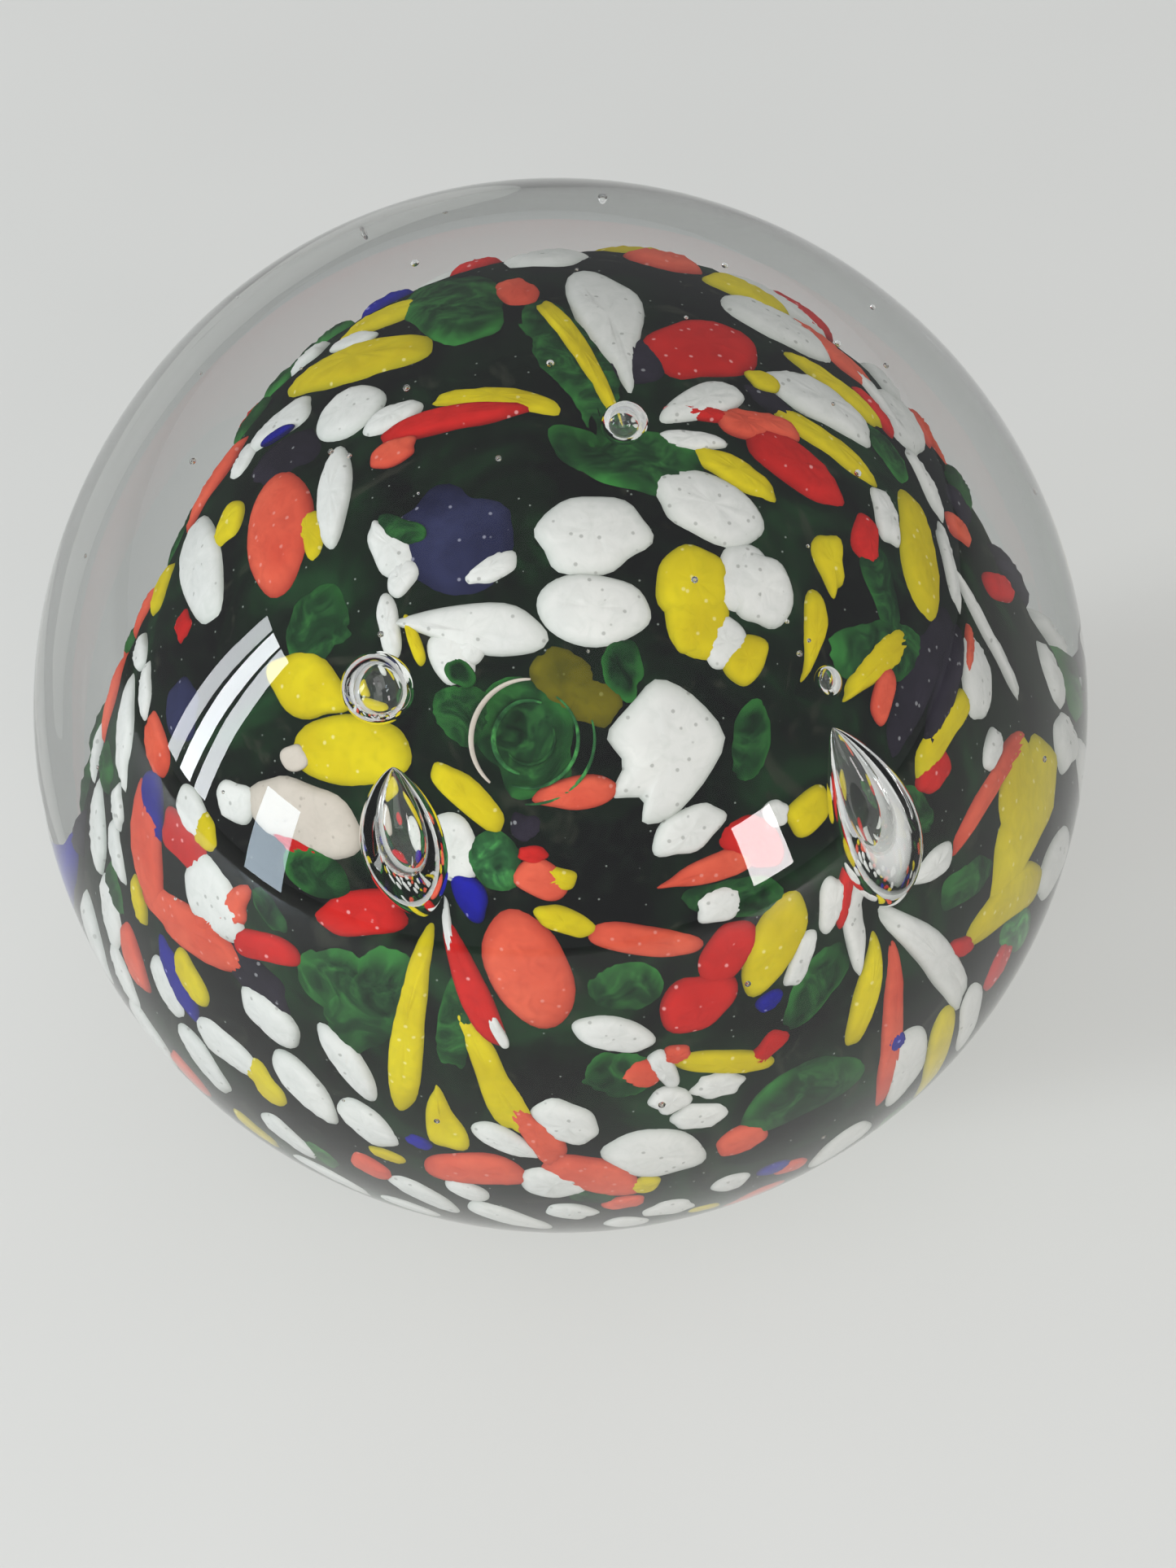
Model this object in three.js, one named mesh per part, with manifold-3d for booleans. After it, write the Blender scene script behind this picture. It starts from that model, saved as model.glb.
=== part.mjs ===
// Round glass paperweight with a colour layer of pressed chips inside it.
// From the outside in: a clear casing, glass chips lying side by side on an egg-shaped gather, and
// the gather itself. Air bubbles stand in the casing over the pits that were pricked in the gather.
// Millimetres, +Z up, with the origin in the middle of the ground flat base.
import * as THREE from "three";
import { mergeVertices } from "three/addons/utils/BufferGeometryUtils.js";
import Module from "manifold-3d";

const wasm = await Module();
wasm.setup();

// Driving dimensions
const BALL_RADIUS = 38;
const CENTRE_HEIGHT = 30.4; // ball centre above the ground base
const BASE_BEVEL = 0.6;
const COLOUR_RADIUS = 22.3; // widest radius of the egg that the chips lie on
const COLOUR_MIDDLE = 26.9; // height of that widest place
const COLOUR_UP = 25; // half height of the egg above it
const COLOUR_DOWN = 31.6; // and below it, where the base cuts it off
const CHIP_THICKNESS = 1.2;
const GAP = 0.3; // left between neighbouring pieces
const BASE_RECESS = 0.3; // the gather stops this far above the base
const PIT_RADIUS = 1.5;
const PIT_DEPTH = 4;

// Fineness of the facets
const BALL_SECTORS = 64;
const BALL_RINGS_ABOVE = 14; // rings of facets above the widest place
const BALL_RINGS_BELOW = 8;
const EGG_SECTORS = 48;
const EGG_RINGS = 20;
const CHIP_SIDES = 14;
const BUBBLE_SECTORS = 16;
const BUBBLE_RINGS = 10;

const CHIP_HALF = CHIP_THICKNESS / 2;
const CHIP_EDGE = 0.62; // share of the outline at which a chip starts to thin
const SKIN = CHIP_HALF + GAP; // from the middle of the chips to the gather and to the casing

const COLOURS = {
  clear: { color: 0xe4ebe8, roughness: 0.05, metalness: 0, transparent: true, opacity: 0.35 },
  gather: { color: 0x141c16, roughness: 0.1, metalness: 0 },
  white: { color: 0xe9e7df, roughness: 0.3, metalness: 0 },
  yellow: { color: 0xd8bf0a, roughness: 0.3, metalness: 0 },
  coral: { color: 0xcf4c36, roughness: 0.3, metalness: 0 },
  red: { color: 0xbd1717, roughness: 0.25, metalness: 0 },
  green: { color: 0x1e5a28, roughness: 0.15, metalness: 0 },
  blue: { color: 0x0c0c8a, roughness: 0.2, metalness: 0 },
  black: { color: 0x17131b, roughness: 0.2, metalness: 0 },
};

// Each chip runs from one end to the other. An end is [turn round the axis from the front, in
// degrees towards +X; way down the egg from its crown, in mm]. Then come the chip's width and, for
// a petal that was drawn into a pit, how much narrower its first end is.
const CHIPS = {
  white: [
    [[-138, 7.6], [-122, 9.9], 1.9],
    [[-141, 11.4], [-121, 12.8], 3.6],
    [[-116, 10.9], [-84, 11], 2.1],
    [[-116, 23.2], [-91, 19.8], 3.4],
    [[-81, 8.7], [-55, 8.8], 2.8, 0.5],
    [[139, 8], [166, 18.2], 5, 0.7],
    [[8, 4.8], [56, 7.6], 4.4],
    [[71, 7.8], [74, 13.8], 4],
    [[67, 14.4], [50, 16], 3.6],
    [[110, 8.8], [116, 14.4], 2.5, 0.3],
    [[118.5, 17.2], [111, 23.6], 3.6],
    [[139, 20.6], [131, 25.8], 4.4],
    [[0, 8.9], [32, 11.2], 3.8],
    [[-50, 10.9], [-3.5, 9.9], 4, 0.85],
    [[8, 17.9], [31, 19.8], 6],
    [[12.2, 23.9], [24, 23.3], 2.4],
    [[-69.5, 32.4], [-57.5, 33.4], 4.4],
    [[-56, 37.4], [-48, 39.6], 2.9],
    [[-51.5, 41.2], [-43.6, 44.8], 2.8],
    [[-36, 41.8], [-42, 37], 2.4, 0.3],
    [[-11, 40.2], [-5.2, 43.5], 2.8],
    [[-2.6, 44.6], [9.8, 47], 4.2],
    [[-4.4, 34], [5.2, 36.3], 2.2],
    [[-16, 47], [-7.4, 48.4], 3],
    [[46, 36.4], [56, 46.6], 2.6, 0.5],
    [[90, 33.2], [75, 32.4], 3.4],
  ],
  yellow: [
    [[-156, 11.4], [-139, 19.8], 3.6],
    [[128, 5], [178, 13.4], 1.6, 0.5],
    [[37, 11.4], [57, 12.6], 4],
    [[103, 26], [80, 25.8], 4],
    [[-70, 18.2], [-51, 16.8], 3.1],
    [[-57, 20.4], [-34, 18], 3.6],
    [[-26.5, 28.4], [-31.8, 41.6], 2.8, 0.7],
    [[93, 42.4], [65, 41.2], 4.8],
    [[31, 30.6], [20.5, 34.8], 3.2],
  ],
  coral: [
    [[-113, 15], [-82, 14.6], 4.4],
    [[-83, 31.5], [-76.5, 38], 3.4],
    [[-12.5, 26.8], [-8.6, 33.8], 4.4],
    [[161, 23.8], [151, 24.2], 3.2],
    [[-7, 19.6], [8, 19.9], 1.7],
  ],
  red: [
    [[-108, 8.2], [-170, 2.4], 1.7],
    [[100, 13.6], [90, 18.8], 3.4],
    [[131, 11.2], [132, 18.8], 4.6],
    [[7.5, 34.4], [18, 34.4], 3.7],
    [[-23.5, 27.4], [-15, 35.6], 2, 0.5],
  ],
  green: [
    [[-171, 22], [-172, 11], 4.6],
    [[-51, 27], [-40, 26.6], 2.8],
    [[17.5, 44.8], [35, 44.6], 4.4],
  ],
  blue: [
    [[-21, 24.4], [-18, 27.2], 1.9],
  ],
  black: [
    [[86, 29.4], [62, 29.6], 2.2],
  ],
};

// Chips round the back, in rows: [way down the egg, turn of the first, step, colours in order].
const BACK_ROWS = [
  [30, 122, 21, ["white", "red", "yellow", "white", "green"]],
  [40, 135, 23, ["coral", "white", "black"]],
];
const BACK_LENGTH = 5.4;
const BACK_WIDTH = 3.6;
const BACK_SLANT = 4; // degrees of turn from one end of such a chip to the other

// Bubbles: turn and way down the egg of the bottom tip, length, radius, the share of the height
// at which they are widest, and how far the middle bows outwards.
const BUBBLES = [
  [45, 35, 15, 2.6, 0.42, 1],
  [-26, 27, 12, 2.5, 0.52, 0.8],
  [-40.5, 16.2, 4.3, 2.15, 0.5, 0.2],
  [96, 5.8, 2.8, 1.35, 0.5, 0.1],
  [52, 22, 2.4, 0.8, 0.5, 0],
];

// The outline of the egg from its crown down to the base.
class EggOutline extends THREE.Curve {
  getPoint(t, target = new THREE.Vector2()) {
    const lowest = Math.acos(-COLOUR_MIDDLE / COLOUR_DOWN);
    const angle = t * lowest;
    const half = Math.cos(angle) > 0 ? COLOUR_UP : COLOUR_DOWN;
    return target.set(COLOUR_RADIUS * Math.sin(angle), COLOUR_MIDDLE + half * Math.cos(angle));
  }
}

const outline = new EggOutline();
const OUTLINE_LENGTH = outline.getLength();

// Radius and height of the egg that far down from its crown, moved out by an offset.
function eggRing(down, offset = 0) {
  const share = THREE.MathUtils.clamp(down / OUTLINE_LENGTH, 0, 1);
  const point = outline.getPointAt(share);
  const tangent = outline.getTangentAt(share);
  return new THREE.Vector2(point.x - tangent.y * offset, point.y + tangent.x * offset);
}

// A point on the egg, moved out along its normal by an offset.
function eggPoint(turn, down, offset = 0) {
  const ring = eggRing(down, offset);
  const angle = THREE.MathUtils.degToRad(turn);
  return new THREE.Vector3(ring.x * Math.sin(angle), -ring.x * Math.cos(angle), ring.y);
}

// A closed lathe body about Z from a profile of [radius, height] points, bottom to top.
function lathe(profile, sectors) {
  const points = profile.map(([radius, height]) => new THREE.Vector2(Math.max(radius, 0), height));
  return new THREE.LatheGeometry(points, sectors).rotateX(Math.PI / 2);
}

function toSolid(geometry) {
  const bare = geometry.clone().deleteAttribute("normal").deleteAttribute("uv");
  const merged = mergeVertices(bare, 1e-4);
  const mesh = new wasm.Mesh({
    numProp: 3,
    vertProperties: new Float32Array(merged.attributes.position.array),
    triVerts: new Uint32Array(merged.index.array),
  });
  return new wasm.Manifold(mesh);
}

function toGeometry(solid) {
  const { vertProperties, triVerts } = solid.getMesh();
  const geometry = new THREE.BufferGeometry();
  geometry.setAttribute("position", new THREE.BufferAttribute(vertProperties, 3));
  geometry.setIndex(new THREE.BufferAttribute(triVerts, 1));
  const flat = geometry.toNonIndexed();
  flat.computeVertexNormals();
  return flat;
}

function ballGeometry() {
  const baseAngle = Math.acos(-(CENTRE_HEIGHT - BASE_BEVEL) / BALL_RADIUS);
  const baseRadius = Math.sqrt(BALL_RADIUS ** 2 - CENTRE_HEIGHT ** 2) - BASE_BEVEL;
  const profile = [
    [0, 0],
    [baseRadius, 0],
  ];
  const addRing = (angle) =>
    profile.push([BALL_RADIUS * Math.sin(angle), CENTRE_HEIGHT + BALL_RADIUS * Math.cos(angle)]);
  const widest = Math.PI / 2;
  for (let i = 0; i < BALL_RINGS_BELOW; i++) {
    addRing(THREE.MathUtils.lerp(baseAngle, widest, i / BALL_RINGS_BELOW));
  }
  for (let i = 0; i <= BALL_RINGS_ABOVE; i++) {
    addRing(widest * (1 - i / BALL_RINGS_ABOVE));
  }
  return lathe(profile, BALL_SECTORS);
}

// The egg grown or shrunk by an offset, closed by a flat bottom at the given height.
function eggGeometry(offset, bottom) {
  const last = eggRing(OUTLINE_LENGTH, offset);
  const profile = [
    [0, bottom],
    [last.x, bottom],
  ];
  for (let i = EGG_RINGS; i >= 0; i--) {
    const ring = eggRing((OUTLINE_LENGTH * i) / EGG_RINGS, offset);
    if (ring.y > bottom + 0.5) profile.push([i === 0 ? 0 : ring.x, ring.y]);
  }
  return lathe(profile, EGG_SECTORS);
}

// A drop that stands on the origin. A long one is pointed at both ends, a short one is round.
function dropGeometry(length, radius, widest) {
  const bend = Math.log(0.5) / Math.log(widest);
  const pointedness = length > 3 * radius ? 0.75 : 0.5;
  const profile = [];
  for (let i = 0; i <= BUBBLE_RINGS; i++) {
    const share = (1 - Math.cos((Math.PI * i) / BUBBLE_RINGS)) / 2;
    const swell = Math.max(0, Math.sin(Math.PI * share ** bend));
    profile.push([i % BUBBLE_RINGS ? radius * swell ** pointedness : 0, length * share]);
  }
  return lathe(profile, BUBBLE_SECTORS);
}

// The tip of a bubble rests on the egg, and its body stands clear of it and bows outwards.
function bubbleSolid([turn, down, length, radius, widest, bow]) {
  const tip = eggPoint(turn, down, SKIN - 0.2);
  const outwards = new THREE.Vector3(tip.x, tip.y, 0).normalize();
  const geometry = dropGeometry(length, radius, widest);
  const places = geometry.getAttribute("position");
  for (let i = 0; i < places.count; i++) {
    const share = places.getZ(i) / length;
    const out = 4 * bow * share * (1 - share);
    places.setX(i, places.getX(i) + tip.x + out * outwards.x);
    places.setY(i, places.getY(i) + tip.y + out * outwards.y);
    places.setZ(i, places.getZ(i) + tip.z);
  }
  return toSolid(geometry);
}

// The pit under a bubble: a cone that points into the gather.
function pitSolid([turn, down]) {
  const mouth = eggPoint(turn, down, 1);
  const inwards = eggPoint(turn, down, -1).sub(mouth).normalize();
  const cone = new THREE.ConeGeometry(PIT_RADIUS, PIT_DEPTH, BUBBLE_SECTORS);
  const fromUp = new THREE.Quaternion().setFromUnitVectors(new THREE.Vector3(0, 1, 0), inwards);
  cone.applyQuaternion(fromUp);
  const middle = mouth.addScaledVector(inwards, PIT_DEPTH / 2);
  return toSolid(cone.translate(middle.x, middle.y, middle.z));
}

function casingGeometry() {
  let hollow = toSolid(eggGeometry(SKIN, -1));
  for (const bubble of BUBBLES) hollow = hollow.add(bubbleSolid(bubble));
  return toGeometry(toSolid(ballGeometry()).subtract(hollow));
}

function gatherGeometry() {
  let gather = toSolid(eggGeometry(-SKIN, BASE_RECESS));
  for (const bubble of BUBBLES) gather = gather.subtract(pitSolid(bubble));
  return toGeometry(gather);
}

// Where a point of a chip lies: along and across are mm from the chip's middle, on the egg.
function onEgg(middle, along, across, axis, offset) {
  const [turn, down] = middle;
  const angle = THREE.MathUtils.degToRad(turn);
  const stretch = down / eggRing(down).x;
  const outwards = along * axis.y - across * axis.x;
  const sideways = (along * axis.x + across * axis.y) * stretch;
  const x = (down + outwards) * Math.sin(angle) + sideways * Math.cos(angle);
  const y = -(down + outwards) * Math.cos(angle) + sideways * Math.sin(angle);
  return eggPoint(THREE.MathUtils.radToDeg(Math.atan2(x, -y)), Math.hypot(x, y), offset);
}

// A chip is a lens that follows the egg: two domed faces that meet at its rim.
function chipGeometry(from, to, width, taper = 0) {
  const turns = THREE.MathUtils.euclideanModulo(to[0] - from[0] + 180, 360) - 180;
  const middle = [from[0] + turns / 2, (from[1] + to[1]) / 2];
  const radius = eggRing(middle[1]).x;
  const axis = new THREE.Vector2(THREE.MathUtils.degToRad(turns) * radius, to[1] - from[1]);
  const length = axis.length();
  axis.normalize();
  const points = [];
  const addRing = (share, offset) => {
    for (let i = 0; i < CHIP_SIDES; i++) {
      const angle = (2 * Math.PI * i) / CHIP_SIDES;
      const along = (share * length * Math.cos(angle)) / 2;
      const narrowing = 1 - taper * (0.5 - Math.cos(angle) / 2);
      const across = (share * width * narrowing * Math.sin(angle)) / 2;
      points.push(onEgg(middle, along, across, axis, offset));
    }
  };
  points.push(onEgg(middle, 0, 0, axis, CHIP_HALF));
  addRing(CHIP_EDGE, CHIP_HALF);
  addRing(1, 0);
  addRing(CHIP_EDGE, -CHIP_HALF);
  points.push(onEgg(middle, 0, 0, axis, -CHIP_HALF));

  const faces = [];
  const last = points.length - 1;
  for (let i = 0; i < CHIP_SIDES; i++) {
    const next = (i + 1) % CHIP_SIDES;
    faces.push(0, 1 + i, 1 + next);
    for (const ring of [1, 1 + CHIP_SIDES]) {
      faces.push(ring + i, ring + CHIP_SIDES + i, ring + next);
      faces.push(ring + next, ring + CHIP_SIDES + i, ring + CHIP_SIDES + next);
    }
    faces.push(last, 1 + 2 * CHIP_SIDES + next, 1 + 2 * CHIP_SIDES + i);
  }
  const geometry = new THREE.BufferGeometry().setFromPoints(points);
  geometry.setIndex(faces);
  const flat = geometry.toNonIndexed();
  flat.computeVertexNormals();
  return flat;
}

function piece(name, geometry, colour) {
  const mesh = new THREE.Mesh(geometry, new THREE.MeshStandardMaterial(COLOURS[colour]));
  mesh.name = name;
  return mesh;
}

const paperweight = new THREE.Group();
paperweight.add(piece("clear_casing", casingGeometry(), "clear"));
paperweight.add(piece("inner_gather", gatherGeometry(), "gather"));

const counts = {};
function addChip(colour, chip) {
  counts[colour] = (counts[colour] ?? 0) + 1;
  const number = String(counts[colour]).padStart(2, "0");
  paperweight.add(piece(`${colour}_chip_${number}`, chipGeometry(...chip), colour));
}

for (const [colour, chips] of Object.entries(CHIPS)) {
  for (const chip of chips) addChip(colour, chip);
}
for (const [down, first, step, colours] of BACK_ROWS) {
  colours.forEach((colour, i) => {
    const turn = first + i * step;
    const half = BACK_LENGTH / 2;
    addChip(colour, [[turn - BACK_SLANT, down - half], [turn + BACK_SLANT, down + half], BACK_WIDTH]);
  });
}

export default paperweight;
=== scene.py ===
"""Looks of a round glass paperweight: clear casing, dark gather, coloured chips and bubbles."""
import math

import bpy
import numpy as np
from mathutils import Matrix, Vector


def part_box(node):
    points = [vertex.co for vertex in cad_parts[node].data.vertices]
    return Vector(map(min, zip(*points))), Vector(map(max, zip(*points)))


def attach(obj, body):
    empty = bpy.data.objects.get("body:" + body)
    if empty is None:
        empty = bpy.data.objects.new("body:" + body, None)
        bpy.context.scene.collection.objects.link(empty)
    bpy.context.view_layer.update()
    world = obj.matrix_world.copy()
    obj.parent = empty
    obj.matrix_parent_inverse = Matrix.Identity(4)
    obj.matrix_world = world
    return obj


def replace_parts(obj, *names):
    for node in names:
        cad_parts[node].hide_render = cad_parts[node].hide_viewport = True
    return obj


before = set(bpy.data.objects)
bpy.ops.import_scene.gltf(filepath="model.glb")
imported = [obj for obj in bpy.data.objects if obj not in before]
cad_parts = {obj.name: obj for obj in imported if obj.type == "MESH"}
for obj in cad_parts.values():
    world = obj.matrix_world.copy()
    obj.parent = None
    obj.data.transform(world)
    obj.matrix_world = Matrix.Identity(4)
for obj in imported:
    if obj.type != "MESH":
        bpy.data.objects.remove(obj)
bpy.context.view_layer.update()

MM = 0.001

# ---------------------------------------------------------------- driving sizes, in mm
BALL_LOW, BALL_HIGH = (np.array(corner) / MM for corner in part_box("clear_casing"))
GATHER_LOW, GATHER_HIGH = (np.array(corner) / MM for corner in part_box("inner_gather"))
BALL_RADIUS = (BALL_HIGH[0] - BALL_LOW[0]) / 2
BALL_MIDDLE = BALL_HIGH[2] - BALL_RADIUS  # height of the ball's centre
BASE_BEVEL = 0.6
SKIN = 0.9  # from the solid of the gather out to the middle of the chips
EGG_RADIUS = (GATHER_HIGH[0] - GATHER_LOW[0]) / 2 + SKIN
EGG_MIDDLE = 26.9  # height at which the egg is widest
EGG_UP = GATHER_HIGH[2] + SKIN - EGG_MIDDLE
EGG_DOWN = 31.6
CHIP_HALF = 0.62  # half the thickness of a chip
CHIP_LIFTS = (0.0, 0.12)  # least and greatest rise of a chip above the egg
SMALL_HALF = CHIP_HALF * 0.9
SMALL_LIFTS = (-0.03, 0.1)
SCATTERED_LIFT = 0.03
FLAKE_HALF = 0.25
FLAKE_LIFT = CHIP_HALF * 0.75
GROWTH = 1.12  # how much larger the chips are here than their solids, which leave gaps between them
OUTLINE_UNEVENNESS = 0.11  # of the chips that have solids
SMALL_UNEVENNESS = 0.14
GATHER_RISE = 0.3  # the gather's glass comes up this far between the chips, so they lie nearly flush
SHELL_NODE = "white_chip_15"  # the chip with a notched edge
SEED_COUNT = 46  # seeds are the tiny bubbles in the casing
SEED_REACH = (1.6, 12)  # how far above the egg they lie
SEED_RADII = (0.09, 0.24)
SEED = 11

# Pricks: turn, way down the egg, depth and spread of the dent that each left.
PRICKS = [
    (45, 35.3, 3.2, 1.5),
    (-25.5, 27, 3.0, 1.4),
    (-36, 15.8, 1.6, 1.2),
    (112, 4.8, 2.6, 1.3),
    (51, 21.6, 2.6, 1.4),
    (-12, 15.4, 3.2, 2.2),
]

# Broad swells and hollows of the egg: turn, way down, height and spread.
BULGES = [
    (155, 25, 0.7, 8),
    (100, 34, -1.6, 8),
    (-130, 33, -2.4, 10),
]

# Bubbles: turn and way down of the tip, length, radius, share of the height at which they are
# widest, how far the middle bows outwards, and how far the top leans towards -X and towards +Y.
BUBBLES = [
    (45, 35, 15, 2.6, 0.42, 1.0, 0.9, 0.0),
    (-26, 27, 12, 2.5, 0.52, 0.8, 0.9, 0.8),
    (-40.5, 16.2, 4.3, 2.15, 0.5, 0.2, 0.0, 0.0),
    (96, 5.8, 2.8, 1.35, 0.5, 0.1, 0.0, 0.0),
    (52, 22, 2.4, 0.8, 0.5, 0.0, 0.0, 0.0),
]

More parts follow.
